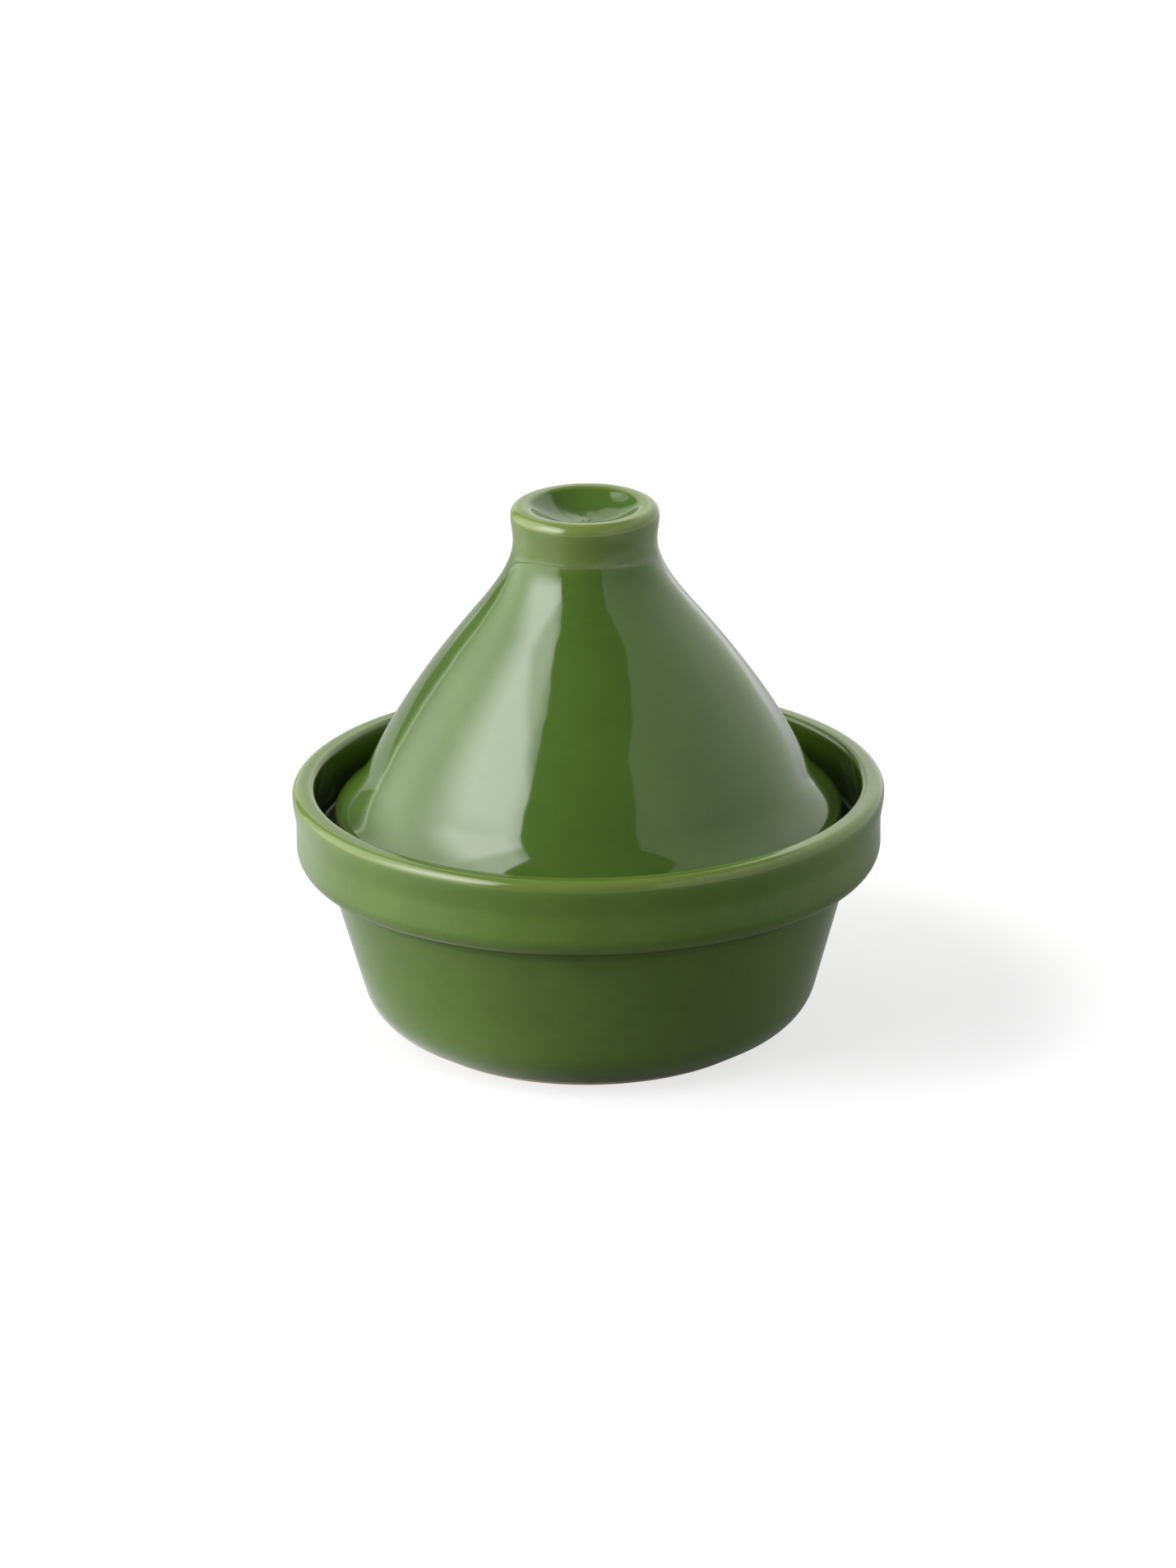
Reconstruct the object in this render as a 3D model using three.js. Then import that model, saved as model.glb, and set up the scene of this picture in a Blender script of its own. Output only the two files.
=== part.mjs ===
// A small glazed stoneware tagine: a flower-pot shaped dish with a thick collar, and a hollow
// bell-shaped lid that stands inside the collar on a ledge. Millimetres, +Z up.
// The origin is under the middle of the foot, on the surface that the dish stands on.

import * as THREE from 'three';

// Dish, outside
const RIM_DIAMETER = 150;
const DISH_HEIGHT = 65.4;
const COLLAR_HEIGHT = 20.4;
const COLLAR_STEP = 7.7;
const COLLAR_EDGE_RADIUS = 5.5;
const COLLAR_FILLET = 1.6;
const WALL_DRAFT = 15.6;
const HEEL_HEIGHT = 6.7;
const HEEL_RADIUS = 15;
const FOOT_DIAMETER = 88.6;
const FOOT_EDGE_RADIUS = 0.6;
const FOOT_RING_WIDTH = 6.5;
const FOOT_RECESS_DEPTH = 1.2;

// Dish, lip and inside
const LIP_THICKNESS = 5.8;
const LIP_SWELL = 0.9;
const LIP_SWELL_START = 9;
const LIP_SWELL_END = 3.6;
const LIP_SWELL_RADIUS = 14;
const LIP_OUTER_RADIUS = 2.6;
const LIP_INNER_RADIUS = 1.6;
const LEDGE_DEPTH = 14;
const LEDGE_WIDTH = 11.2;
const LEDGE_CORNER_RADIUS = 1.6;
const LEDGE_EDGE_RADIUS = 1.2;
const LEDGE_BLEND_RADIUS = 14;
const WALL_THICKNESS = 6.8;
const FLOOR_THICKNESS = 7;
const FLOOR_CORNER_RADIUS = 14;

// How the lid sits in the dish
const SEAT_CLEARANCE = 0.3;
const COLLAR_GAP = 4.95;

// Lid, from its rolled foot up to the knob
const LID_HEIGHT = 87.5;
const LID_WALL = 6;
const BEAD_HEIGHT = 6.5;
const BEAD_LOWER_RADIUS = 3;
const BEAD_INNER_RADIUS = 1.5;
const BEAD_CROWN = 4;
const FLARE_WIDTH = 8.75;
const FLARE_HEIGHT = 18;
const FLARE_HANDLE = 5;
const SKIRT_ANGLE = 25.2;
const SKIRT_HANDLE = 15.5;
const SHOULDER_RADIUS = 29.9;
const SHOULDER_DROP = 30.4;
const SHOULDER_ANGLE = 39.2;
const SHOULDER_LOWER_HANDLE = 15.5;
const SHOULDER_UPPER_HANDLE = 9.5;
const NECK_RADIUS = 18.2;
const NECK_DROP = 9;
const NECK_LOWER_HANDLE = 7;
const HOLLOW_CEILING = 11;
const HOLLOW_DOME_HEIGHT = 7;

// Knob
const KNOB_RADIUS = 18.8;
const KNOB_SIDE_DROP = 2.9;
const KNOB_SIDE_HANDLE = 2;
const KNOB_LIP_OUTER_RADIUS = 2.6;
const KNOB_LIP_WIDTH = 4.5;
const KNOB_LIP_INNER_RADIUS = 4;
const RECESS_DEPTH = 6.5;
const RECESS_TAPER = 6.2;
const RECESS_CORNER_RADIUS = 16;

// How finely the curves are stepped
const TURN_STEPS = 48;
const ARC_TOLERANCE = 0.06;
const NECK_STEPS = 7;
const BELL_STEPS = 6;
const FLARE_STEPS = 7;
const KNOB_SIDE_STEPS = 4;
const DOME_STEPS = 5;

const glaze = new THREE.MeshStandardMaterial({ color: 0x5f7a35, roughness: 0.12, metalness: 0 });
const lidGlaze = glaze.clone();

const degrees = THREE.MathUtils.degToRad;
const point = (radius, height) => new THREE.Vector2(radius, height);

// A heading in the profile plane that runs down and outwards, at an angle to the upright
const downwards = (angle) => point(Math.sin(degrees(angle)), -Math.cos(degrees(angle)));

const stepAlong = (from, heading, length) => from.clone().addScaledVector(heading, length);

const cornerAt = (radius, height, fillet = 0) => ({ place: point(radius, height), fillet });

// How far along its two runs a corner's fillet starts and ends
function filletReach(before, corner, after) {
  const toBefore = before.place.clone().sub(corner.place);
  const toAfter = after.place.clone().sub(corner.place);
  return corner.fillet / Math.tan(toBefore.angleTo(toAfter) / 2);
}

// The points of a round corner between two straight runs
function filletPoints(before, corner, after, reach) {
  const { place } = corner;
  if (reach === 0) return [place];
  const toBefore = before.place.clone().sub(place).normalize();
  const toAfter = after.place.clone().sub(place).normalize();
  const halfAngle = toBefore.angleTo(toAfter) / 2;
  const radius = reach * Math.tan(halfAngle);
  const bisector = toBefore.clone().add(toAfter).normalize();
  const centre = stepAlong(place, bisector, radius / Math.sin(halfAngle));
  const startAngle = stepAlong(place, toBefore, reach).sub(centre).angle();
  const endAngle = stepAlong(place, toAfter, reach).sub(centre).angle();
  let sweep = endAngle - startAngle;
  if (sweep > Math.PI) sweep -= 2 * Math.PI;
  if (sweep < -Math.PI) sweep += 2 * Math.PI;
  const arcStep = 2 * Math.acos(1 - Math.min(ARC_TOLERANCE / radius, 1));
  const steps = Math.max(2, Math.ceil(Math.abs(sweep) / arcStep));
  return Array.from({ length: steps + 1 }, (_, i) => {
    const angle = startAngle + (sweep * i) / steps;
    return point(Math.cos(angle), Math.sin(angle)).multiplyScalar(radius).add(centre);
  });
}

// A run of corners, each rounded by its own fillet. The first and last stay sharp, and two
// fillets that would overlap on the run between them share it.
function roundedRun(corners) {
  const last = corners.length - 1;
  const wanted = corners.map((corner, i) => (i === 0 || i === last || corner.fillet === 0
    ? 0
    : filletReach(corners[i - 1], corner, corners[i + 1])));
  const share = corners.map(() => 1);
  for (let i = 0; i < last; i += 1) {
    const run = corners[i].place.distanceTo(corners[i + 1].place);
    const fits = Math.min(1, run / (wanted[i] + wanted[i + 1]));
    share[i] = Math.min(share[i], fits);
    share[i + 1] = Math.min(share[i + 1], fits);
  }
  return corners.flatMap((corner, i) => (i === 0 || i === last
    ? [corner.place]
    : filletPoints(corners[i - 1], corner, corners[i + 1], wanted[i] * share[i])));
}

// A smooth curve that leaves one point and reaches another along given headings
function headedCurve(from, leave, leaveHandle, to, arrive, arriveHandle, steps) {
  const control = stepAlong(from, leave, leaveHandle);
  const arriveControl = stepAlong(to, arrive, -arriveHandle);
  return new THREE.CubicBezierCurve(from, control, arriveControl, to).getPoints(steps);
}

// The same line, moved sideways towards the axis by a wall's thickness
function innerSkin(points, wall) {
  return points.map((here, i) => {
    const previous = points[Math.max(i - 1, 0)];
    const next = points[Math.min(i + 1, points.length - 1)];
    const along = next.clone().sub(previous).normalize();
    return point(here.x + along.y * wall, here.y - along.x * wall);
  });
}

// Turns a profile about the Z axis. The profile runs with the clay on its left.
function turned(name, profile, material) {
  const apart = profile.filter((here, i) => i === 0 || here.distanceTo(profile[i - 1]) > 0.01);
  const mesh = new THREE.Mesh(new THREE.LatheGeometry(apart, TURN_STEPS), material);
  mesh.name = name;
  mesh.rotation.x = Math.PI / 2;
  return mesh;
}

const rimRadius = RIM_DIAMETER / 2;
const collarRadius = rimRadius - LIP_SWELL;
const collarInside = rimRadius - LIP_THICKNESS;
const ledgeHeight = DISH_HEIGHT - LEDGE_DEPTH;

function dishProfile() {
  const footRadius = FOOT_DIAMETER / 2;
  const ringInside = footRadius - FOOT_RING_WIDTH;
  const collarBottom = DISH_HEIGHT - COLLAR_HEIGHT;
  const wallTop = collarRadius - COLLAR_STEP;
  const slope = Math.tan(degrees(WALL_DRAFT));
  const wallAt = (height) => wallTop - (collarBottom - height) * slope;
  const skin = WALL_THICKNESS / Math.cos(degrees(WALL_DRAFT));
  const ledgeInside = collarInside - LEDGE_WIDTH;
  const ledgeUnderside = collarBottom - (wallTop - skin - ledgeInside) / slope;
  return roundedRun([
    cornerAt(0, FOOT_RECESS_DEPTH),
    cornerAt(ringInside, FOOT_RECESS_DEPTH, FOOT_EDGE_RADIUS),
    cornerAt(ringInside, 0, FOOT_EDGE_RADIUS),
    cornerAt(footRadius, 0, FOOT_EDGE_RADIUS),
    cornerAt(wallAt(HEEL_HEIGHT), HEEL_HEIGHT, HEEL_RADIUS),
    cornerAt(wallTop, collarBottom, COLLAR_FILLET),
    cornerAt(collarRadius, collarBottom, COLLAR_EDGE_RADIUS),
    cornerAt(collarRadius, DISH_HEIGHT - LIP_SWELL_START, LIP_SWELL_RADIUS),
    cornerAt(rimRadius, DISH_HEIGHT - LIP_SWELL_END, LIP_SWELL_RADIUS),
    cornerAt(rimRadius, DISH_HEIGHT, LIP_OUTER_RADIUS),
    cornerAt(collarInside, DISH_HEIGHT, LIP_INNER_RADIUS),
    cornerAt(collarInside, ledgeHeight, LEDGE_CORNER_RADIUS),
    cornerAt(ledgeInside, ledgeHeight, LEDGE_EDGE_RADIUS),
    cornerAt(ledgeInside, ledgeUnderside, LEDGE_BLEND_RADIUS),
    cornerAt(wallAt(FLOOR_THICKNESS) - skin, FLOOR_THICKNESS, FLOOR_CORNER_RADIUS),
    cornerAt(0, FLOOR_THICKNESS),
  ]);
}

function lidProfile() {
  const base = ledgeHeight + SEAT_CLEARANCE;
  const top = base + LID_HEIGHT;
  const beadRadius = collarInside - COLLAR_GAP;
  const upright = downwards(0);
  const bead = point(beadRadius, base + BEAD_HEIGHT);
  const skirt = point(beadRadius - FLARE_WIDTH, base + FLARE_HEIGHT);
  const shoulder = point(SHOULDER_RADIUS, top - SHOULDER_DROP);
  const neck = point(NECK_RADIUS, top - NECK_DROP);
  const knobSide = point(KNOB_RADIUS, top - KNOB_SIDE_DROP);
  const shoulderHeading = downwards(SHOULDER_ANGLE);
  const skirtHeading = downwards(SKIRT_ANGLE);

  const knobWaist = headedCurve(
    knobSide, upright, KNOB_SIDE_HANDLE, neck, upright, KNOB_SIDE_HANDLE, KNOB_SIDE_STEPS);
  const neckSweep = headedCurve(
    neck, upright, NECK_LOWER_HANDLE, shoulder, shoulderHeading, SHOULDER_UPPER_HANDLE, NECK_STEPS);
  const bell = headedCurve(
    shoulder, shoulderHeading, SHOULDER_LOWER_HANDLE, skirt, skirtHeading, SKIRT_HANDLE, BELL_STEPS);
  const flare = headedCurve(
    skirt, skirtHeading, FLARE_HANDLE, bead, upright, BEAD_CROWN, FLARE_STEPS);

  const recessFloor = top - RECESS_DEPTH;
  const recessRadius = KNOB_RADIUS - KNOB_LIP_WIDTH;
  const knob = roundedRun([
    cornerAt(0, recessFloor),
    cornerAt(recessRadius - RECESS_TAPER, recessFloor, RECESS_CORNER_RADIUS),
    cornerAt(recessRadius, top, KNOB_LIP_INNER_RADIUS),
    cornerAt(KNOB_RADIUS, top, KNOB_LIP_OUTER_RADIUS),
    cornerAt(knobSide.x, knobSide.y),
  ]);

  // The hollow follows the bell at one wall's thickness, and closes in a dome under the knob
  const hollowTop = recessFloor - HOLLOW_CEILING;
  const skin = innerSkin([...neckSweep, ...bell.slice(1)], LID_WALL);
  const hollowSide = skin.filter((here) => here.y < hollowTop - HOLLOW_DOME_HEIGHT);
  const domeFoot = hollowSide[0];
  const domeHeading = hollowSide[1].clone().sub(domeFoot);
  const domeRun = (hollowTop - domeFoot.y) * (domeHeading.x / -domeHeading.y);
  const domeCorner = point(domeFoot.x - domeRun, hollowTop);
  const dome = new THREE.QuadraticBezierCurve(point(0, hollowTop), domeCorner, domeFoot)
    .getPoints(DOME_STEPS);
  const hollowEnd = hollowSide[hollowSide.length - 1];
  const hollowMouth = hollowEnd.x + (hollowEnd.y - base) * Math.tan(degrees(SKIRT_ANGLE));

  const foot = roundedRun([
    cornerAt(bead.x, bead.y),
    cornerAt(beadRadius, base, BEAD_LOWER_RADIUS),
    cornerAt(hollowMouth, base, BEAD_INNER_RADIUS),
    cornerAt(hollowEnd.x, hollowEnd.y),
  ]);

  const downTheOutside = [...knob, ...knobWaist, ...neckSweep, ...bell, ...flare, ...foot];
  const upTheInside = [...dome, ...hollowSide].reverse();
  return [...downTheOutside, ...upTheInside].reverse();
}

const tagine = new THREE.Group();
tagine.add(turned('dish', dishProfile(), glaze));
tagine.add(turned('lid', lidProfile(), lidGlaze));

export default tagine;
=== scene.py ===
"""Looks of a small glazed stoneware tagine: a deep dish and a lift-off lid on a pale studio floor."""

import math

import bpy
import numpy as np
from mathutils import Matrix, Vector


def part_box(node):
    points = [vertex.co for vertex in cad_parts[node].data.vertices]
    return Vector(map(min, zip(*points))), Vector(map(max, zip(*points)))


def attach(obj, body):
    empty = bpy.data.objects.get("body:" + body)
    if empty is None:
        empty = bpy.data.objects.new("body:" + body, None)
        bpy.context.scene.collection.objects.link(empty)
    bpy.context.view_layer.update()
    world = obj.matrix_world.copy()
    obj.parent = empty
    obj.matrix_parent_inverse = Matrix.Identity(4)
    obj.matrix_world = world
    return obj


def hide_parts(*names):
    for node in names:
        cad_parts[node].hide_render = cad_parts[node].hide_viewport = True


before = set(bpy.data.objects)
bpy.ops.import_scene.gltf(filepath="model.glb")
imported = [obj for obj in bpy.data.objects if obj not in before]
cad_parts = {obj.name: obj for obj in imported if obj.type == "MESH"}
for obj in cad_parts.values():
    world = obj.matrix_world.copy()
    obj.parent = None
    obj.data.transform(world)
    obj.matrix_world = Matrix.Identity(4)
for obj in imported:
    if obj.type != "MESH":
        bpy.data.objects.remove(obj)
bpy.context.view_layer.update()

bl_info = {
    "name": "Glazed Tagine",
    "version": (1, 0, 0),
    "blender": (4, 5, 0),
    "location": "View3D > Sidebar > Tagine",
    "description": "Turns a glazed stoneware dish and lid around their packed solids, and lights them",
    "category": "Object",
}

MM = 0.001
DISH_LOW, DISH_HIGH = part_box("dish")
LID_LOW, LID_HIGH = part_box("lid")

# How finely the turned pieces are stepped
TURN_STEPS = 304
FINE_STEP = 0.1 * MM
LONGEST_STEP = 1.1 * MM
SHARPEST_TURN = math.radians(9)
CURVE_STEPS = 240
FEWEST_ARC_STEPS = 6
ARC_STEP = math.radians(1.5)
SAME_POINT = 1e-7

# Waves in the glazed surface: lobes around, pitch along the profile in millimetres, and weight
RIPPLE_WAVES = ((2, 70, 1.2), (3, 46, 1.0), (5, 34, 0.8), (8, 24, 0.55),
                (12, 17, 0.4), (17, 12, 0.25), (23, 9, 0.16))
RIPPLE_PEAK = 3.2
DISH_SEED = 11
LID_SEED = 23

# Bends over which the glaze thins on an edge, or gathers in a hollow inside; the outside's hollows take
# painted shade and a painted highlight
EDGE_BEND = (0.06 / MM, 0.32 / MM)
HOLLOW_BEND = (0.04 / MM, 0.30 / MM)
BEND_BLUR = 1.1 * MM

# Heights over which the glaze's marks and its painted shade fade
DISH_BARE_FADE = (1.5 * MM, 2.5 * MM)
HEEL_FADE = (2.5 * MM, 7 * MM)
UNDERSIDE_FADE = (0.5 * MM, 2.5 * MM)
LIP_FADE = (4 * MM, 9 * MM)
LEDGE_FADE = (-6 * MM, -1 * MM)
LID_BARE_FADE = (0.1 * MM, 0.5 * MM)
LID_SEAT_FADE = (1.0 * MM, 4.0 * MM)
KNOB_FADE = (8 * MM, 17 * MM)

# How far around the foot and the ledge their marks reach
FOOT_MARGIN = 5.5 * MM
LEDGE_MARGIN = 1.5 * MM

# How strong the marks are: paler thin glaze on edges and the knob, a painted highlight in the outside's
# hollows, and painted shade under the collar, in the outside's hollows, at the heel and in the gap
# where the lid sits
OUTER_EDGE_THIN = 0.62
OUTER_HOLLOW_HIGHLIGHT = 0.9
INNER_EDGE_THIN = 0.5
KNOB_THIN = 0.62
COLLAR_SHADE = 0.7
HOLLOW_SHADE = 0.7
HEEL_SHADE = 0.6
GAP_SHADE = 0.62

# Scales of the glaze's detail per metre, and where each piece's detail starts
CLOUD_SCALE = 38
GRAIN_SCALE = 420
FINE_SCALE = 1500
PEEL_SCALE = 210
SPECK_SCALE = 95
PIT_SCALE = 150
GLAZE_IOR = 1.54
DISH_SHIFT = (0.31, 0.12, 0.05)
LID_SHIFT = (0.74, 0.45, 0.62)

# Floor and camera
FLOOR_REACH = 12.0
FLOOR_DIFFUSE = (0.258, 0.25, 0.268, 1)
PHOTO_HEIGHT = 1907
SENSOR_WIDTH = 36
FARTHEST_SEEN = 50


# Sizes, colours and studio settings


def length(name, description, default):
    """A size in metres that the panel shows."""
    return bpy.props.FloatProperty(
        name=name, description=description, default=default, min=0, precision=4,
        subtype="DISTANCE", unit="LENGTH")


def angle(name, description, default):
    """An angle that the panel shows in degrees."""
    return bpy.props.FloatProperty(
        name=name, description=description, default=math.radians(default),
        subtype="ANGLE", unit="ROTATION")


def colour(name, description, default):
    """A scene-linear colour."""
    return bpy.props.FloatVectorProperty(
        name=name, description=description, default=default, size=3, min=0, max=1,
        subtype="COLOR")


def share(name, description, default, most=1.0):
    """A plain number from 0 upwards."""
    return bpy.props.FloatProperty(
        name=name, description=description, default=default, min=0, max=most,
        subtype="FACTOR")


class DishSizes(bpy.types.PropertyGroup):
    """Sizes of the dish's turned profile."""

    rim_diameter: length("Rim", "Across the lip", DISH_HIGH.x - DISH_LOW.x)
    height: length("Height", "From the foot to the lip", DISH_HIGH.z)
    collar_height: length("Collar height", "From the collar's lower edge to the lip", 21.2 * MM)
    collar_step: length("Collar step", "How far the collar stands out from the wall", 7.7 * MM)
    collar_edge_radius: length("Collar edge", "Rounding of the collar's lower edge", 5.5 * MM)
    collar_fillet: length("Collar fillet", "Rounding where the collar meets the wall", 2.6 * MM)
    wall_draft: angle("Wall draft", "How far the wall leans outwards", 15.6)
    heel_height: length("Heel height", "Height of the corner between wall and heel", 6.7 * MM)
    heel_radius: length("Heel radius", "Rounding between wall and heel", 15 * MM)
    foot_diameter: length("Foot", "Across the foot", 88.6 * MM)
    foot_edge_radius: length("Foot edge", "Rounding of the foot's edges", 0.6 * MM)
    foot_ring_width: length("Foot ring", "Width of the ring that stands on the table", 6.5 * MM)
    foot_recess_depth: length("Foot recess", "Depth of the recess inside the ring", 1.2 * MM)
    lip_thickness: length("Lip", "Thickness of the collar at the lip", 5.8 * MM)
    lip_swell: length("Lip swell", "How far the lip stands out from the collar", 0.9 * MM)
    lip_swell_start: length("Swell start", "Depth under the lip where the swell starts", 9 * MM)
    lip_swell_end: length("Swell end", "Depth under the lip where the swell ends", 3.6 * MM)
    lip_swell_radius: length("Swell radius", "Rounding of the swell", 14 * MM)
    lip_outer_radius: length("Lip outer radius", "Rounding of the lip outside", 2.6 * MM)
    lip_inner_radius: length("Lip inner radius", "Rounding of the lip inside", 1.6 * MM)
    ledge_depth: length("Ledge depth", "From the lip down to the ledge", 14 * MM)
    ledge_width: length("Ledge width", "Width of the ledge that carries the lid", 11.2 * MM)
    ledge_corner_radius: length("Ledge corner", "Rounding at the back of the ledge", 1.6 * MM)
    ledge_edge_radius: length("Ledge edge", "Rounding of the ledge's edge", 1.2 * MM)
    ledge_blend_radius: length("Ledge blend", "Rounding under the ledge", 14 * MM)
    wall_thickness: length("Wall", "Thickness of the wall", 6.8 * MM)
    floor_thickness: length("Floor", "Thickness of the floor", 7 * MM)
    floor_corner_radius: length("Floor corner", "Rounding between floor and wall", 14 * MM)


class LidSizes(bpy.types.PropertyGroup):
    """Sizes of the lid's turned profile."""

    base: length("Base", "Height of the lid's lower edge", LID_LOW.z)
    top: length("Top", "Height of the knob's lip", LID_HIGH.z)
    bead_diameter: length("Bead", "Across the rolled foot", LID_HIGH.x - LID_LOW.x)
    wall: length("Wall", "Thickness of the bell's wall", 6 * MM)
    bead_height: length("Bead height", "From the lower edge to the bead's widest point", 6.5 * MM)
    bead_lower_radius: length("Bead radius", "Rounding under the bead", 3 * MM)
    bead_inner_radius: length("Bead inner radius", "Rounding of the lower edge inside", 1.5 * MM)
    bead_crown: length("Bead crown", "Handle of the curve over the bead", 2.5 * MM)
    flare_width: length("Flare width", "How far the flare runs out to the bead", 8.75 * MM)
    flare_height: length("Flare height", "Height where the flare starts", 18 * MM)
    flare_handle: length("Flare handle", "Handle of the curve into the flare", 8 * MM)
    skirt_angle: angle("Skirt angle", "Slope of the bell above the flare", 25.2)
    skirt_handle: length("Skirt handle", "Handle of the bell's lower end", 15.5 * MM)
    shoulder_radius: length("Shoulder radius", "Radius of the bell at the shoulder", 29.9 * MM)
    shoulder_drop: length("Shoulder drop", "From the knob's lip to the shoulder", 30.4 * MM)
    shoulder_angle: angle("Shoulder angle", "Slope of the bell at the shoulder", 39.2)
    shoulder_lower_handle: length("Lower handle", "Handle below the shoulder", 15.5 * MM)
    shoulder_upper_handle: length("Upper handle", "Handle above the shoulder", 9.5 * MM)
    neck_radius: length("Neck", "Radius of the neck under the knob", 18.2 * MM)
    neck_drop: length("Neck drop", "From the knob's lip to the neck", 9 * MM)
    neck_lower_handle: length("Neck handle", "Handle of the curve below the neck", 7 * MM)
    hollow_ceiling: length("Ceiling", "Thickness between the recess and the hollow", 12.5 * MM)
    hollow_dome_height: length("Dome", "Height of the dome that closes the hollow", 7 * MM)
    knob_radius: length("Knob", "Radius of the knob", 18.8 * MM)
    knob_side_drop: length("Knob side", "From the lip to the knob's widest point", 2.9 * MM)
    knob_side_handle: length("Knob handle", "Handle of the curve under the knob's lip", 2 * MM)
    knob_lip_outer_radius: length("Knob lip outside", "Rounding outside the knob's lip", 2.6 * MM)
    knob_lip_width: length("Knob lip width", "Width of the knob's lip", 4.5 * MM)
    knob_lip_inner_radius: length("Knob lip inside", "Rounding inside the knob's lip", 4 * MM)
    recess_depth: length("Recess depth", "Depth of the recess in the knob", 5 * MM)
    recess_taper: length("Recess taper", "How far the recess narrows to its floor", 6.3 * MM)
    recess_corner_radius: length("Recess corner", "Rounding of the recess's floor", 22 * MM)


class GlazeLooks(bpy.types.PropertyGroup):
    """Colours and surface of the glaze and the bare clay."""

    dish: colour("Dish glaze", "Colour of the glaze on the dish", (0.073, 0.127, 0.0165))
    # Painted shade: the lid's glaze is a darker copy of the dish's glaze, to make up for the stronger
    # light that the lid takes
    lid: colour("Lid glaze", "Colour of the glaze on the lid", (0.047, 0.092, 0.0115))
    # Also painted as a highlight in the outside's hollows: the pale line where the collar meets the
    # wall
    thin_and_highlight: colour("Thin glaze", "Colour where the glaze thins over an edge", (0.125, 0.165, 0.037))
    pooled: colour("Pooled glaze", "Colour where the glaze gathers", (0.050, 0.100, 0.020))
    clay: colour("Bare clay", "Colour of the unglazed foot", (0.60, 0.48, 0.33))
    # Painted shade: the dark colour put in the gap where the lid sits and on the lid's lower edge, and
    # mixed in under the collar, in the outside's hollows and at the heel
    seat: colour("Seat", "Colour of the dull glaze where the lid sits", (0.018, 0.028, 0.008))
    speck: colour("Speck", "Colour of the iron specks", (0.035, 0.045, 0.015))
    gloss: share("Roughness", "Roughness of the glaze", 0.07)
    ripple: length("Ripple", "Height of the slow waves in the glazed surface", 0.035 * MM)
    peel: length("Peel", "Height of the fine ripple in the glaze", 0.006 * MM)


class StudioSettings(bpy.types.PropertyGroup):
    """Camera and light of the studio."""

    camera_height: angle("Camera angle", "Height of the camera above the horizon", 20.0)
    camera_distance: length("Camera distance", "From the camera to the aim point", 2.6)
    camera_roll: angle("Camera roll", "How far the camera leans to its right", 0.65)
    aim_height: length("Aim", "Height of the point in the middle of the picture", 64.4 * MM)
    pixels_per_metre: bpy.props.FloatProperty(
        name="Scale", description="Size of the aim point's surroundings in the picture",
        default=4800.0, min=1)
    key_level: share("Key", "Radiance of the diffuser's bright middle", 8.3, 20)
    side_level: share("Side", "Radiance of the diffuser away from its middle", 3.0, 20)
    wall_level: share("Walls", "Radiance of the studio's pale walls", 0.9, 20)
    dark_level: share("Dark side", "Radiance behind the camera", 0.17, 20)
    bounce: colour("Bounce", "Colour of the walls and the diffuser's dim parts", (0.94, 1.0, 0.86))


# Profiles, as points of radius and height in metres


def point(radius, height):
    """A point in the profile's plane."""
    return np.array([radius, height], float)


def downwards(slope):
    """A heading that runs down and outwards, at an angle to the upright."""
    return point(math.sin(slope), -math.cos(slope))


def straight(start, end):
    """Points along a straight run, finely stepped, without its end."""
    steps = max(1, math.ceil(np.linalg.norm(end - start) / FINE_STEP))
    return [start + (end - start) * i / steps for i in range(steps)]


def headed_curve(start, leave, leave_handle, end, arrive, arrive_handle):
    """A smooth curve that leaves one point and reaches another along given headings."""
    control = start + leave * leave_handle
    other = end - arrive * arrive_handle
    along = np.linspace(0, 1, CURVE_STEPS)[:, None]
    back = 1 - along
    curve = (back**3 * start + 3 * back**2 * along * control
             + 3 * back * along**2 * other + along**3 * end)
    return list(curve)


def turn_between(first, second):
    """The angle between two directions."""
    cosine = np.dot(first, second) / (np.linalg.norm(first) * np.linalg.norm(second))
    return math.acos(max(-1.0, min(1.0, cosine)))


def fillet_points(before, place, after, reach):
    """The points of a round corner between two straight runs."""
    if reach == 0:
        return [place]
    to_before = (before - place) / np.linalg.norm(before - place)
    to_after = (after - place) / np.linalg.norm(after - place)
    half = turn_between(to_before, to_after) / 2
    radius = reach * math.tan(half)
    bisector = (to_before + to_after) / np.linalg.norm(to_before + to_after)
    centre = place + bisector * radius / math.sin(half)
    first = place + to_before * reach - centre
    last = place + to_after * reach - centre
    start = math.atan2(first[1], first[0])
    sweep = math.remainder(math.atan2(last[1], last[0]) - start, 2 * math.pi)
    steps = max(FEWEST_ARC_STEPS, math.ceil(abs(sweep) / ARC_STEP))
    return [centre + radius * point(math.cos(start + sweep * i / steps),
                                    math.sin(start + sweep * i / steps))
            for i in range(steps + 1)]


def rounded_run(corners):
    """A run of (radius, height, fillet) corners, where two fillets that would overlap share a run."""
    places = [point(radius, height) for radius, height, fillet in corners]
    fillets = [fillet for radius, height, fillet in corners]
    last = len(corners) - 1
    wanted = [0.0] * len(corners)
    for i in range(1, last):
        if fillets[i]:
            bend = turn_between(places[i - 1] - places[i], places[i + 1] - places[i])
            wanted[i] = fillets[i] / math.tan(bend / 2)
    kept = [1.0] * len(corners)
    for i in range(last):
        taken = wanted[i] + wanted[i + 1]
        if taken:
            fits = min(1.0, np.linalg.norm(places[i + 1] - places[i]) / taken)
            kept[i] = min(kept[i], fits)
            kept[i + 1] = min(kept[i + 1], fits)
    run = [places[0]]
    for i in range(1, last):
        arc = fillet_points(places[i - 1], places[i], places[i + 1], wanted[i] * kept[i])
        run += straight(run[-1], arc[0])[1:] + arc
    return run + straight(run[-1], places[last])[1:] + [places[last]]


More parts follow.
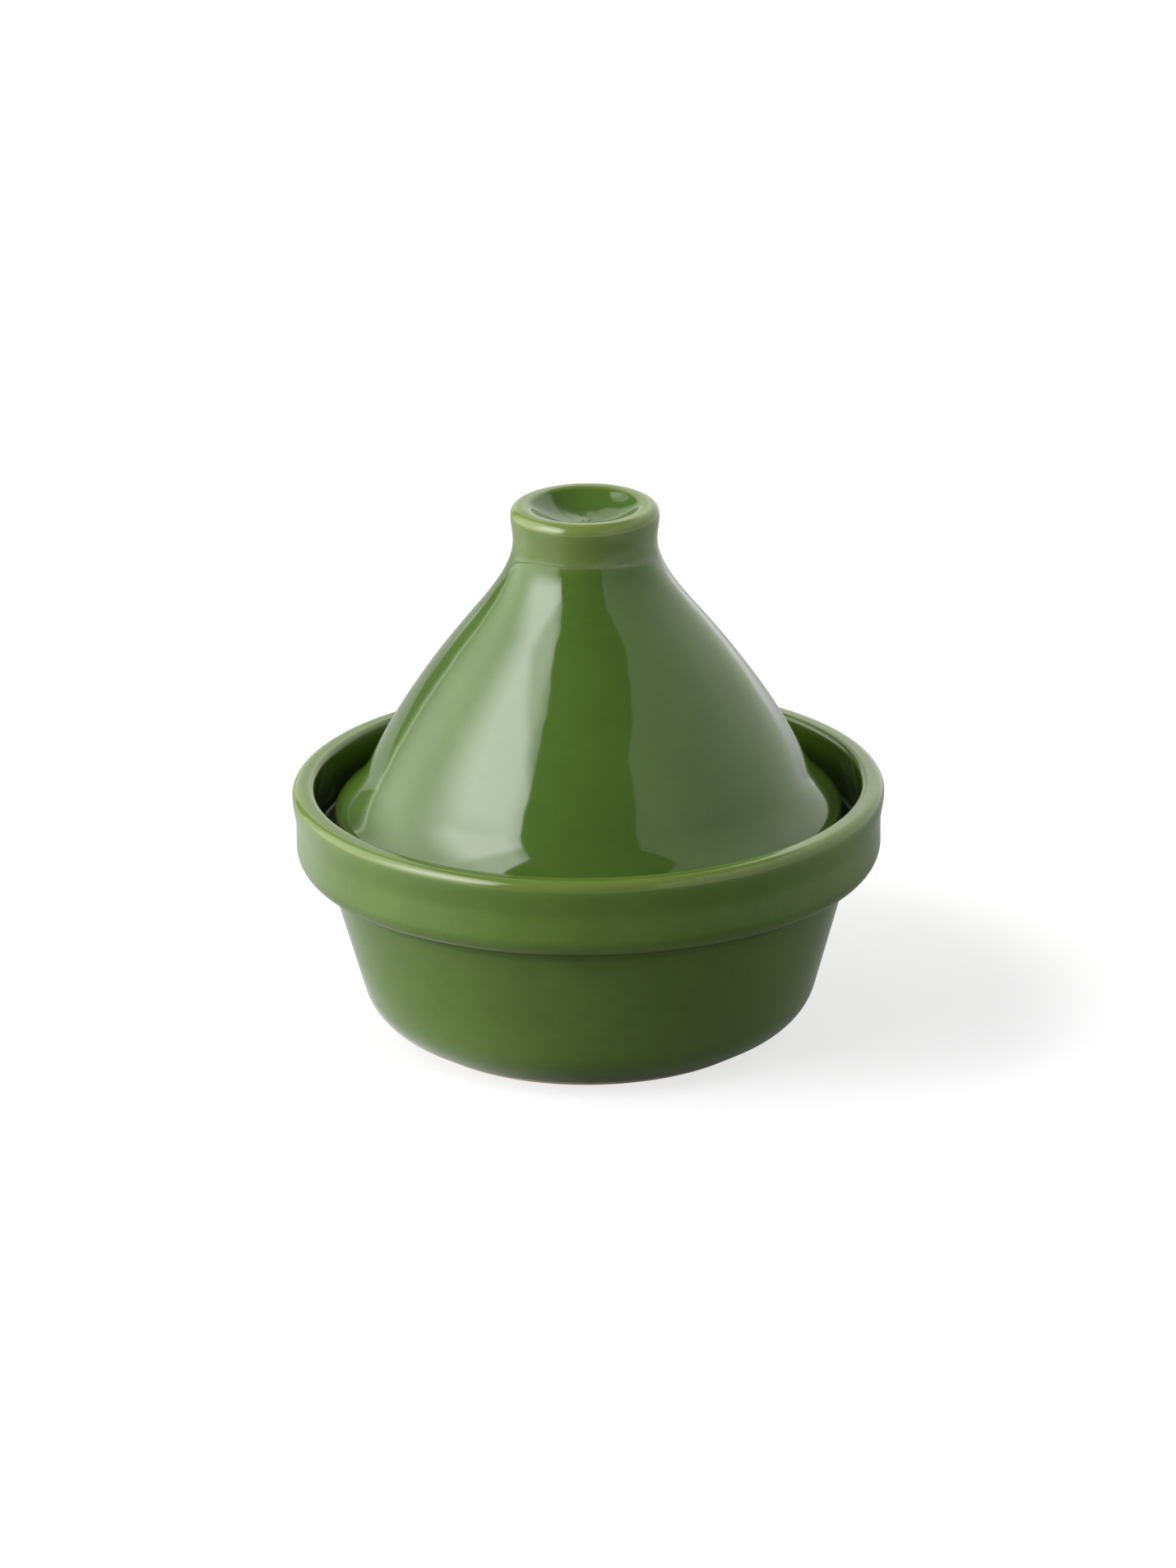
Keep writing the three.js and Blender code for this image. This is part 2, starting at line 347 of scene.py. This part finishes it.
def inner_skin(points, wall):
    """The same line, moved sideways towards the axis by a wall's thickness."""
    along = np.gradient(np.array(points), axis=0)
    along /= np.linalg.norm(along, axis=1)[:, None]
    return list(np.array(points) + wall * np.column_stack([along[:, 1], -along[:, 0]]))


def dish_profile(size):
    """The dish from the middle of its foot, up its outside, over the lip and down to its floor."""
    rim = size.rim_diameter / 2
    collar = rim - size.lip_swell
    inside = rim - size.lip_thickness
    foot = size.foot_diameter / 2
    ring_inside = foot - size.foot_ring_width
    collar_bottom = size.height - size.collar_height
    wall_top = collar - size.collar_step
    slope = math.tan(size.wall_draft)
    skin = size.wall_thickness / math.cos(size.wall_draft)
    ledge = size.height - size.ledge_depth
    ledge_inside = inside - size.ledge_width
    ledge_underside = collar_bottom - (wall_top - skin - ledge_inside) / slope

    def wall_at(height):
        return wall_top - (collar_bottom - height) * slope

    return rounded_run([
        (0, size.foot_recess_depth, 0),
        (ring_inside, size.foot_recess_depth, size.foot_edge_radius),
        (ring_inside, 0, size.foot_edge_radius),
        (foot, 0, size.foot_edge_radius),
        (wall_at(size.heel_height), size.heel_height, size.heel_radius),
        (wall_top, collar_bottom, size.collar_fillet),
        (collar, collar_bottom, size.collar_edge_radius),
        (collar, size.height - size.lip_swell_start, size.lip_swell_radius),
        (rim, size.height - size.lip_swell_end, size.lip_swell_radius),
        (rim, size.height, size.lip_outer_radius),
        (inside, size.height, size.lip_inner_radius),
        (inside, ledge, size.ledge_corner_radius),
        (ledge_inside, ledge, size.ledge_edge_radius),
        (ledge_inside, ledge_underside, size.ledge_blend_radius),
        (wall_at(size.floor_thickness) - skin, size.floor_thickness, size.floor_corner_radius),
        (0, size.floor_thickness, 0),
    ])


def lid_profile(size):
    """The lid from the middle of its ceiling, down its inside, up its outside and into the recess."""
    bead_radius = size.bead_diameter / 2
    upright = downwards(0)
    shoulder_heading = downwards(size.shoulder_angle)
    skirt_heading = downwards(size.skirt_angle)
    bead = point(bead_radius, size.base + size.bead_height)
    skirt = point(bead_radius - size.flare_width, size.base + size.flare_height)
    shoulder = point(size.shoulder_radius, size.top - size.shoulder_drop)
    neck = point(size.neck_radius, size.top - size.neck_drop)
    knob_side = point(size.knob_radius, size.top - size.knob_side_drop)

    waist = headed_curve(knob_side, upright, size.knob_side_handle,
                         neck, upright, size.knob_side_handle)
    neck_sweep = headed_curve(neck, upright, size.neck_lower_handle,
                              shoulder, shoulder_heading, size.shoulder_upper_handle)
    bell = headed_curve(shoulder, shoulder_heading, size.shoulder_lower_handle,
                        skirt, skirt_heading, size.skirt_handle)
    flare = headed_curve(skirt, skirt_heading, size.flare_handle,
                         bead, upright, size.bead_crown)

    recess_floor = size.top - size.recess_depth
    recess_radius = size.knob_radius - size.knob_lip_width
    knob = rounded_run([
        (0, recess_floor, 0),
        (recess_radius - size.recess_taper, recess_floor, size.recess_corner_radius),
        (recess_radius, size.top, size.knob_lip_inner_radius),
        (size.knob_radius, size.top, size.knob_lip_outer_radius),
        (knob_side[0], knob_side[1], 0),
    ])

    hollow_top = recess_floor - size.hollow_ceiling
    skin = inner_skin(neck_sweep + bell[1:], size.wall)
    side = [here for here in skin if here[1] < hollow_top - size.hollow_dome_height]
    dome_foot = side[0]
    dome_heading = side[1] - dome_foot
    dome_run = (hollow_top - dome_foot[1]) * dome_heading[0] / -dome_heading[1]
    dome_corner = point(dome_foot[0] - dome_run, hollow_top)
    along = np.linspace(0, 1, CURVE_STEPS)[:, None]
    dome = list((1 - along)**2 * point(0, hollow_top)
                + 2 * along * (1 - along) * dome_corner + along**2 * dome_foot)
    mouth = side[-1][0] + (side[-1][1] - size.base) * math.tan(size.skirt_angle)
    foot = rounded_run([
        (bead[0], bead[1], 0),
        (bead_radius, size.base, size.bead_lower_radius),
        (mouth, size.base, size.bead_inner_radius),
        (side[-1][0], side[-1][1], 0),
    ])
    down_the_outside = knob + waist + neck_sweep + bell + flare + foot
    up_the_inside = (dome + side)[::-1]
    return (down_the_outside + up_the_inside)[::-1]


# Turned meshes


def smooth_ramp(value, low, high):
    """0 below low, 1 above high and an even S between them."""
    part = np.clip((value - low) / (high - low), 0, 1)
    return part * part * (3 - 2 * part)


class Profile:
    """A turned piece's profile, stepped closely where it bends, with its normals and bends."""

    def __init__(self, points):
        fine = np.array(points)
        apart = np.linalg.norm(np.diff(fine, axis=0), axis=1)
        fine = fine[np.concatenate([[True], apart > SAME_POINT])]
        steps = np.diff(fine, axis=0)
        lengths = np.hypot(steps[:, 0], steps[:, 1])
        headings = np.unwrap(np.arctan2(steps[:, 1], steps[:, 0]))
        corner_turn = np.concatenate([[0], np.diff(headings), [0]])
        along = np.concatenate([[0], np.cumsum(lengths)])

        half_turn = (np.abs(corner_turn[:-1]) + np.abs(corner_turn[1:])) / 2
        cost = np.concatenate([[0], np.cumsum(lengths / LONGEST_STEP + half_turn / SHARPEST_TURN)])
        wanted = np.linspace(0, cost[-1], math.ceil(cost[-1]) + 1)
        self.along = np.interp(wanted, cost, along)
        self.radius = np.interp(self.along, along, fine[:, 0])
        self.height = np.interp(self.along, along, fine[:, 1])

        middles = (along[:-1] + along[1:]) / 2
        heading = np.interp(self.along, middles, headings)
        self.normal_out = np.sin(heading)
        self.normal_up = -np.cos(heading)
        self.bend = self.blurred_bend(along, corner_turn)

    def blurred_bend(self, along, corner_turn):
        """The turn per metre, positive over an edge, blurred a little along the profile."""
        even = np.arange(0, along[-1], FINE_STEP)
        bins = np.append(even, along[-1] + FINE_STEP)
        spread = np.histogram(along, bins=bins, weights=corner_turn)[0]
        reach = np.arange(-4 * BEND_BLUR, 4 * BEND_BLUR, FINE_STEP)
        bell = np.exp(-0.5 * (reach / BEND_BLUR)**2)
        blurred = np.convolve(spread, bell / bell.sum(), "same") / FINE_STEP
        return np.interp(self.along, even, blurred)


def ripple_field(profile, turn, seed):
    """Slow seeded waves over a turned surface, about -1 to 1."""
    draw = np.random.default_rng(seed)
    field = np.zeros((len(profile.along), len(turn)))
    for lobes, pitch, weight in RIPPLE_WAVES:
        for lean in (-1, 1):
            around = lean * (lobes + draw.integers(-1, 2))
            up = 2 * math.pi / (pitch * MM) * draw.uniform(0.7, 1.3)
            phase = draw.uniform(0, 2 * math.pi)
            field += weight * np.sin(around * turn[None, :] + up * profile.along[:, None] + phase)
    return field / RIPPLE_PEAK


def turned_piece(name, profile, ripple, seed, marks):
    """Turns a profile about Z into a closed smooth mesh, with the glaze's marks on its points."""
    turn = np.arange(TURN_STEPS) * 2 * math.pi / TURN_STEPS
    rings = slice(1, len(profile.along) - 1)
    lift = ripple_field(profile, turn, seed) * ripple[:, None]
    radius = (profile.radius[:, None] + lift * profile.normal_out[:, None])[rings]
    height = (profile.height[:, None] + lift * profile.normal_up[:, None])[rings]
    body = np.stack([radius * np.cos(turn), radius * np.sin(turn), height], axis=-1)
    first = [0, 0, profile.height[0]]
    last = [0, 0, profile.height[-1]]
    places = np.vstack([[first], body.reshape(-1, 3), [last]])

    count = len(profile.along) - 2
    here = np.arange(TURN_STEPS)
    beside = (here + 1) % TURN_STEPS
    faces = [(0, int(1 + b), int(1 + a)) for a, b in zip(here, beside)]
    for ring in range(count - 1):
        low = 1 + ring * TURN_STEPS
        high = low + TURN_STEPS
        faces += [(int(low + a), int(low + b), int(high + b), int(high + a))
                  for a, b in zip(here, beside)]
    low = 1 + (count - 1) * TURN_STEPS
    end = len(places) - 1
    faces += [(int(low + a), int(low + b), end) for a, b in zip(here, beside)]

    mesh = bpy.data.meshes.new(name)
    mesh.from_pydata(places.tolist(), [], faces)
    for mark, values in marks.items():
        spread = np.concatenate([values[:1], np.repeat(values[1:-1], TURN_STEPS), values[-1:]])
        layer = mesh.attributes.new(mark, "FLOAT", "POINT")
        layer.data.foreach_set("value", spread.astype(np.float32))
    mesh.shade_smooth()
    mesh.validate()
    piece = bpy.data.objects.new(name, mesh)
    bpy.context.scene.collection.objects.link(piece)
    return piece


def dish_marks(profile, size):
    """How the glaze lies on the dish and where shade and a highlight are painted on it, as marks for
    its points, and where its surface ripples.
    """
    outside = profile.along < profile.along[np.argmax(profile.height)]
    edge = smooth_ramp(profile.bend, *EDGE_BEND)
    hollow = smooth_ramp(-profile.bend, *HOLLOW_BEND)

    at_foot = outside & (profile.radius < size.foot_diameter / 2 + FOOT_MARGIN)
    bare = np.where(at_foot, 1 - smooth_ramp(profile.height, *DISH_BARE_FADE), 0.0)

    # Painted shade: darker and without reflection at the heel, under the collar and in the outside's
    # hollows
    heel = 1 - smooth_ramp(profile.height, *HEEL_FADE)
    wall_top = size.rim_diameter / 2 - size.lip_swell - size.collar_step
    over_collar_edge = profile.height - (size.height - size.collar_height)
    lower_edge = 1 - smooth_ramp(over_collar_edge, *UNDERSIDE_FADE)
    underside = np.where(profile.radius > wall_top, lower_edge, 0.0)
    matt_shade = np.maximum.reduce([COLLAR_SHADE * underside, HOLLOW_SHADE * hollow, HEEL_SHADE * heel])

    seat = size.height - size.ledge_depth
    on_ledge = ~outside & (np.abs(profile.height - seat) < LEDGE_MARGIN)
    # Painted shade in the gap between lid and collar, from under the lip down to the ledge
    below_lip = smooth_ramp(size.height - profile.height, *LIP_FADE)
    above_hollow = smooth_ramp(profile.height - seat, *LEDGE_FADE)
    marks = {
        # The outside's hollows take the thin glaze's colour as a painted highlight
        "thin_and_highlight": np.where(outside, OUTER_EDGE_THIN * edge + OUTER_HOLLOW_HIGHLIGHT * hollow,
                         INNER_EDGE_THIN * edge),
        "pooled": np.where(outside, 0.0, hollow),
        "bare": bare,
        "matt_shade": np.where(outside, matt_shade, 0.0),
        "shaded": np.where(outside, 0.0, below_lip * above_hollow),
    }
    return marks, (1 - bare) * np.where(on_ledge, 0.0, 1.0)


def lid_marks(profile, size):
    """How the glaze lies on the lid and where shade is painted on its lower edge, as marks for its
    points, and where its surface ripples.
    """
    outside = profile.along > profile.along[np.argmin(profile.height)]
    over_base = profile.height - size.base
    bare = 1 - smooth_ramp(over_base, *LID_BARE_FADE)
    # Painted shade on the lid's lower edge, which sits in the gap
    seat = 1 - smooth_ramp(over_base, *LID_SEAT_FADE)
    in_recess = profile.radius < size.knob_radius - size.knob_lip_width
    knob = KNOB_THIN * (1 - smooth_ramp(size.top - profile.height, *KNOB_FADE))
    knob = np.where(outside & ~in_recess, knob, 0.0)
    marks = {
        "thin_and_highlight": np.maximum(smooth_ramp(profile.bend, *EDGE_BEND), knob),
        "pooled": smooth_ramp(-profile.bend, *HOLLOW_BEND),
        "bare": bare,
        "matt_shade": np.zeros_like(bare),
        "shaded": seat,
    }
    return marks, 1 - seat


# Shaders


class Wire:
    """A node's output socket that can stand in a Python expression."""

    def __init__(self, tree, socket=None):
        self.tree = tree
        self.socket = socket

    def add(self, kind, settings=None, inputs=None, output=0):
        """Adds a node of any kind: its settings first, then the values or links of its sockets."""
        node = self.tree.nodes.new(kind)
        for key, value in (settings or {}).items():
            setattr(node, key, value)
        for key, value in (inputs or {}).items():
            if isinstance(value, Wire):
                self.tree.links.new(value.socket, node.inputs[key])
            else:
                node.inputs[key].default_value = value
        return Wire(self.tree, node.outputs[output] if node.outputs else None)

    def math(self, operation, *values):
        """A Math node on values or wires."""
        return self.add("ShaderNodeMath", {"operation": operation}, dict(enumerate(values)))

    def __add__(self, other):
        return self.math("ADD", self, other)

    __radd__ = __add__

    def __sub__(self, other):
        return self.math("SUBTRACT", self, other)

    def __rsub__(self, other):
        return self.math("SUBTRACT", other, self)

    def __mul__(self, other):
        return self.math("MULTIPLY", self, other)

    __rmul__ = __mul__

    def ramp(self, low, high, start=0.0, end=1.0):
        """This value run smoothly from start at low to end at high."""
        return self.add("ShaderNodeMapRange", {"interpolation_type": "SMOOTHSTEP"},
                        {0: self, 1: low, 2: high, 3: start, 4: end})

    def tint(self, without, with_all):
        """A colour between two, by this value."""
        return self.add("ShaderNodeMix", {"data_type": "RGBA"},
                        {0: self, 6: as_colour(without), 7: as_colour(with_all)}, output=2)

    def parts(self):
        """The three parts of this vector, as wires."""
        node = self.add("ShaderNodeSeparateXYZ", None, {0: self}).socket.node
        return [Wire(self.tree, output) for output in node.outputs]

    def mark(self, name):
        """A mark that the mesh's points carry."""
        return self.add("ShaderNodeAttribute", {"attribute_name": name}, output=2)

    def noise(self, where, scale, detail, roughness=0.5):
        """A soft noise around 0.5."""
        return self.add("ShaderNodeTexNoise", None, {
            "Vector": where, "Scale": scale, "Detail": detail, "Roughness": roughness})

    def dots(self, where, scale, fade, picked):
        """Round dots that fade over a radius, in the cells that a chance picks."""
        cells = {"Vector": where, "Scale": scale, "Randomness": 1.0}
        radius = self.add("ShaderNodeTexVoronoi", None, cells)
        chance = self.add("ShaderNodeSeparateColor", None, {
            0: self.add("ShaderNodeTexVoronoi", None, cells, output=1)})
        return radius.ramp(*fade, 1.0, 0.0) * chance.ramp(*picked)


def as_colour(value):
    """A colour socket's value with its alpha, or a wire as it is."""
    return value if isinstance(value, Wire) else (*value, 1.0)


def scaled(tone, by):
    """A colour times a number."""
    return tuple(by * part for part in tone)


def emptied(tree):
    """A node tree without its default nodes, as the start of an expression."""
    tree.nodes.clear()
    return Wire(tree)


def glaze_material(name, looks, body, shift):
    """Green glaze that breaks to olive on the edges, with specks and pinholes, bare clay, painted shade
    and a painted highlight.
    """
    material = bpy.data.materials.new(name)
    material.use_nodes = True
    start = emptied(material.node_tree)
    local = start.add("ShaderNodeTexCoord", output=3)
    where = start.add("ShaderNodeVectorMath", {"operation": "ADD"}, {0: local, 1: shift})

    cloud = start.noise(where, CLOUD_SCALE, 3, 0.55)
    grain = start.noise(where, GRAIN_SCALE, 3, 0.6)
    fine = start.noise(where, FINE_SCALE, 2)
    peel = start.noise(where, PEEL_SCALE, 2)
    speck = start.dots(where, SPECK_SCALE, (0.018, 0.034), (0.62, 0.64))
    pit = start.dots(where, PIT_SCALE, (0.012, 0.040), (0.78, 0.80))

    # Paler where the glaze thins over edges, and a painted highlight in the outside's hollows
    thin_and_highlight = (start.mark("thin_and_highlight") + (cloud - 0.5) * 0.30 + (grain - 0.5) * 0.12).ramp(0.18, 0.95)
    pooled = (start.mark("pooled") + (cloud - 0.5) * 0.2).ramp(0.25, 1.0)
    bare = (start.mark("bare") + (grain - 0.5) * 0.35).ramp(0.42, 0.58)
    # Painted shade under the collar, in the outside's hollows and at the heel
    matt_shade = start.mark("matt_shade")

    clouded = (cloud * 0.7 + grain * 0.3).ramp(0.34, 0.66)
    glaze = clouded.tint(scaled(body, 0.92), scaled(body, 1.08))
    glaze = (pooled * 0.8).tint(glaze, looks.pooled)
    glaze = thin_and_highlight.tint(glaze, looks.thin_and_highlight)
    glaze = (speck * 0.75).tint(glaze, looks.speck)
    grained = (grain * 0.6 + fine * 0.4).ramp(0.36, 0.62)
    clay = grained.tint(scaled(looks.clay, 0.72), looks.clay)
    surface = bare.tint(glaze, clay)

    roughness = looks.gloss + (grain - 0.5) * 0.03 + thin_and_highlight * 0.05 + pit * 0.2 + bare * 0.75
    height = (cloud * 0.25 + peel) - pit * 3.0 - bare * (1 - fine) * 2.0
    bump = start.add("ShaderNodeBump", None, {
        "Strength": 1.0, "Distance": looks.peel, "Height": height})
    glossy = start.add("ShaderNodeBsdfPrincipled", None, {
        "Base Color": surface, "Roughness": roughness, "Normal": bump, "IOR": GLAZE_IOR})
    # Painted shade: a dark, unreflecting shader, mixed in where the lid sits in the gap and partly
    # under the collar, in the outside's hollows and at the heel
    shaded = start.add("ShaderNodeBsdfPrincipled", None, {
        "Base Color": matt_shade.tint(looks.seat, surface), "Roughness": 1.0, "Specular IOR Level": 0.0})
    shade_share = (start.mark("shaded") * GAP_SHADE + matt_shade) * (1 - bare)
    mixed = start.add("ShaderNodeMixShader", None, {0: shade_share, 1: glossy, 2: shaded})
    start.add("ShaderNodeOutputMaterial", None, {"Surface": mixed})
    return material


# Studio, with turns in degrees from the front to the right, and rises from the horizon


def floor_material():
    """White with the tagine's shadow to the camera, and pools of light to the tagine itself."""
    material = bpy.data.materials.new("studio_floor")
    material.use_nodes = True
    start = emptied(material.node_tree)
    seen = start.add("ShaderNodeLightPath")
    place = start.add("ShaderNodeTexCoord", output=3)
    right, back = place.parts()[:2]
    front = -1 * back
    away = start.add("ShaderNodeVectorMath", {"operation": "LENGTH"}, {0: place}, output=1)

    turn = start.math("DEGREES", start.math("ARCTAN2", right, front))
    left = turn.ramp(-150, -110) * turn.ramp(-62, -20, 1.0, 0.0)
    lit = 0.5 * back - 0.85 * right
    lit_half = lit.ramp(-0.10, 0.10, 0.19, 0.60)
    right_pool = right.ramp(0.08, 0.30, 0.0, 0.5) + (right + 0.5 * back).ramp(0.40, 1.30, 0.0, 0.5)
    front_pool = front.ramp(0.10, 0.25, 0.0, 0.12) + front.ramp(0.40, 0.90, 0.0, 0.33)
    left_pool = left * (away.ramp(0.08, 0.22, 0.0, 0.6) + away.ramp(0.45, 1.00, 0.0, 1.3))
    past_lamp = left * away.ramp(1.25, 1.50)
    level = (lit_half + right_pool + front_pool + left_pool) * (1 - past_lamp)
    contact = away.ramp(0.045, 0.080, lit.ramp(-0.03, 0.03, 0.2, 1.0), 1.0)
    foot_glow = away.ramp(0.052, 0.080, 1.0, 0.0) * lit.ramp(-0.03, 0.02, 0.1, 0.45)
    unseen = start.add("ShaderNodeEmission", None, {
        "Color": level * contact + foot_glow, "Strength": 1.0})

    shadowed = start.add("ShaderNodeBsdfDiffuse", None, {"Color": FLOOR_DIFFUSE})
    # Painted light: the floor that the camera sees brightens away from the tagine and towards the
    # front, so that the cast shadow fades out sooner
    bright = (away.ramp(0.22, 0.50, 0.702, 1.0) + away.ramp(0.105, 0.150, 0.0, 0.11)
              + front.ramp(0.02, 0.06, 0.0, 0.06))
    white = start.add("ShaderNodeEmission", None, {"Color": bright})
    shown = start.add("ShaderNodeAddShader", None, {0: shadowed, 1: white})
    mixed = start.add("ShaderNodeMixShader", None, {0: seen, 1: unseen, 2: shown})
    start.add("ShaderNodeOutputMaterial", None, {"Surface": mixed})
    return material


def lay_floor(scene):
    """A wide floor under the tagine."""
    mesh = bpy.data.meshes.new("studio_floor")
    corners = [(-FLOOR_REACH, -FLOOR_REACH, 0), (FLOOR_REACH, -FLOOR_REACH, 0),
               (FLOOR_REACH, FLOOR_REACH, 0), (-FLOOR_REACH, FLOOR_REACH, 0)]
    mesh.from_pydata(corners, [], [(0, 1, 2, 3)])
    floor = bpy.data.objects.new("studio_floor", mesh)
    scene.collection.objects.link(floor)
    mesh.materials.append(floor_material())


def studio_world(scene, settings):
    """White behind the tagine, pale walls to the right and rear, and a dark side behind the camera."""
    world = bpy.data.worlds.new("studio")
    world.use_nodes = True
    start = emptied(world.node_tree)
    seen = start.add("ShaderNodeLightPath")
    right, back, up = start.add("ShaderNodeTexCoord").parts()
    turn = start.math("DEGREES", start.math("ARCTAN2", right, -1 * back))
    rise = start.math("DEGREES", start.math("ARCSINE", up))

    edge = rise.ramp(24, 42, 25, 30) + rise.ramp(42, 62, 0, 36)
    top = 72 - (turn - 45) * 0.26
    right_wall = (turn - edge).ramp(-1, 1) * (top - rise).ramp(-4, 4)
    low = rise.ramp(46, 54, 1.0, 0.0)
    rear_left_wall = turn.ramp(-156, -150, 1.0, 0.0) * low
    rear_right_wall = turn.ramp(145, 160) * low
    gain = turn.ramp(60, 140, 0.84, 1.45) * rise.ramp(8, 28, 0.8, 1.0)
    wall = right_wall * gain + rear_left_wall * 1.1 + rear_right_wall * 0.2

    level = settings.dark_level + wall * settings.wall_level
    bounced = (wall * (1 - seen)).tint((1, 1, 1), settings.bounce)
    strength = seen + (1 - seen) * level
    background = start.add("ShaderNodeBackground", None, {"Color": bounced, "Strength": strength})
    start.add("ShaderNodeOutputWorld", None, {"Surface": background})
    scene.world = world


def hang_diffuser(scene, settings):
    """A tall diffuser to the left: a bright soft-edged middle, and dimmer towards its rear and foot."""
    distance = 1.3
    middle = math.radians(-88.5)
    half = math.radians(51.5)
    low = -0.045
    high = 2.70
    lamp = bpy.data.lights.new("diffuser", "AREA")
    lamp.shape = "RECTANGLE"
    lamp.size = 2 * distance * math.tan(half)
    lamp.size_y = high - low
    lamp.energy = math.pi * settings.key_level * lamp.size * lamp.size_y
    panel = bpy.data.objects.new("diffuser", lamp)
    out = Vector((math.sin(middle), -math.cos(middle), 0))
    panel.location = out * distance + Vector((0, 0, settings.aim_height + (low + high) / 2))
    panel.rotation_mode = "QUATERNION"
    panel.rotation_quaternion = out.to_track_quat("Z", "Y")
    panel.visible_camera = False
    scene.collection.objects.link(panel)

    def across(degrees):
        return 0.5 + math.tan(math.radians(degrees) - middle) / (2 * math.tan(half))

    def upwards(metres):
        return (metres - low) / (high - low)

    lamp.use_nodes = True
    start = emptied(lamp.node_tree)
    u, v = start.add("ShaderNodeNewGeometry", output=5).parts()[:2]
    dim = settings.side_level / settings.key_level
    slant = v - u.ramp(across(-80), across(-40), 0.0, 0.10)
    hot = (u.ramp(across(-102), across(-70)) * u.ramp(across(-50), across(-37), 1.0, 0.7)
           * slant.ramp(upwards(0.0), upwards(0.74))
           * v.ramp(upwards(1.45), upwards(1.85), 1.0, 0.4))
    base = (u.ramp(across(-140), across(-109), 0.10, 1.0)
            * u.ramp(across(-50), across(-37), 1.0, 0.0) * dim)
    rear_line = (u.ramp(across(-137.5), across(-136))
                 * u.ramp(across(-136), across(-133.5), 1.0, 0.0) * 0.16)
    light = hot.tint((base + rear_line).tint((0, 0, 0), settings.bounce), (1, 1, 1))
    glow = start.add("ShaderNodeEmission", None, {"Color": light, "Strength": 1.0})
    start.add("ShaderNodeOutputLight", None, {"Surface": glow})


def place_camera(scene, settings):
    """A camera far in front of the tagine, that looks a little down on it."""
    camera = bpy.data.cameras.new("camera")
    camera.sensor_width = SENSOR_WIDTH
    camera.lens = SENSOR_WIDTH * settings.pixels_per_metre * settings.camera_distance / PHOTO_HEIGHT
    camera.clip_end = FARTHEST_SEEN
    holder = bpy.data.objects.new("camera", camera)
    scene.collection.objects.link(holder)
    back = Vector((0, -math.cos(settings.camera_height), math.sin(settings.camera_height)))
    holder.location = Vector((0, 0, settings.aim_height)) + back * settings.camera_distance
    level = (-back).to_track_quat("-Z", "Y").to_matrix()
    lean = Matrix.Rotation(-settings.camera_roll, 3, "Z")
    holder.rotation_mode = "QUATERNION"
    holder.rotation_quaternion = (level @ lean).to_quaternion()
    scene.camera = holder


# Operators and panel


def dress(piece, body, material):
    """Puts a finished piece on its body in place of the packed node of the same name."""
    piece.data.materials.append(material)
    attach(piece, body)
    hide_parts(body)


class TAGINE_OT_dish(bpy.types.Operator):
    """Turn the dish, with its collar, ledge and bare foot ring"""

    bl_idname = "tagine.dish"
    bl_label = "Dish"

    def execute(self, context):
        size = context.scene.tagine_dish
        looks = context.scene.tagine_glaze
        profile = Profile(dish_profile(size))
        marks, rippled = dish_marks(profile, size)
        piece = turned_piece("dish_body", profile, looks.ripple * rippled, DISH_SEED, marks)
        dress(piece, "dish",
              glaze_material("dish_glaze", looks, looks.dish, DISH_SHIFT))
        return {"FINISHED"}


class TAGINE_OT_lid(bpy.types.Operator):
    """Turn the lid, with its rolled foot, bell, neck and recessed knob"""

    bl_idname = "tagine.lid"
    bl_label = "Lid"

    def execute(self, context):
        size = context.scene.tagine_lid
        looks = context.scene.tagine_glaze
        profile = Profile(lid_profile(size))
        marks, rippled = lid_marks(profile, size)
        piece = turned_piece("lid_body", profile, looks.ripple * rippled, LID_SEED, marks)
        dress(piece, "lid",
              glaze_material("lid_glaze", looks, looks.lid, LID_SHIFT))
        return {"FINISHED"}


class TAGINE_OT_stage(bpy.types.Operator):
    """Lay the floor, light the studio and set up the camera"""

    bl_idname = "tagine.stage"
    bl_label = "Stage"

    def execute(self, context):
        scene = context.scene
        settings = scene.tagine_studio
        scene.view_settings.view_transform = "Standard"
        lay_floor(scene)
        studio_world(scene, settings)
        hang_diffuser(scene, settings)
        place_camera(scene, settings)
        return {"FINISHED"}


class TAGINE_PT_panel(bpy.types.Panel):
    """Lists the tagine's pieces, sizes and looks"""

    bl_label = "Tagine"
    bl_idname = "TAGINE_PT_panel"
    bl_space_type = "VIEW_3D"
    bl_region_type = "UI"
    bl_category = "Tagine"

    def draw(self, context):
        layout = self.layout
        for operator in OPERATORS:
            layout.operator(operator.bl_idname)
        for store, group in STORES.items():
            box = layout.box()
            box.label(text=group.__doc__)
            for key in group.__annotations__:
                box.prop(getattr(context.scene, store), key)


OPERATORS = (TAGINE_OT_dish, TAGINE_OT_lid, TAGINE_OT_stage)
STORES = {
    "tagine_dish": DishSizes,
    "tagine_lid": LidSizes,
    "tagine_glaze": GlazeLooks,
    "tagine_studio": StudioSettings,
}
CLASSES = (*STORES.values(), *OPERATORS, TAGINE_PT_panel)


def register():
    """Registers the classes and gives the scene their settings."""
    for cls in CLASSES:
        bpy.utils.register_class(cls)
    for store, group in STORES.items():
        setattr(bpy.types.Scene, store, bpy.props.PointerProperty(type=group))


def unregister():
    """Takes the settings and the classes away again."""
    for store in STORES:
        delattr(bpy.types.Scene, store)
    for cls in reversed(CLASSES):
        bpy.utils.unregister_class(cls)


def main():
    register()
    bpy.ops.tagine.dish()
    bpy.ops.tagine.lid()
    bpy.ops.tagine.stage()


if __name__ == "__main__":
    main()
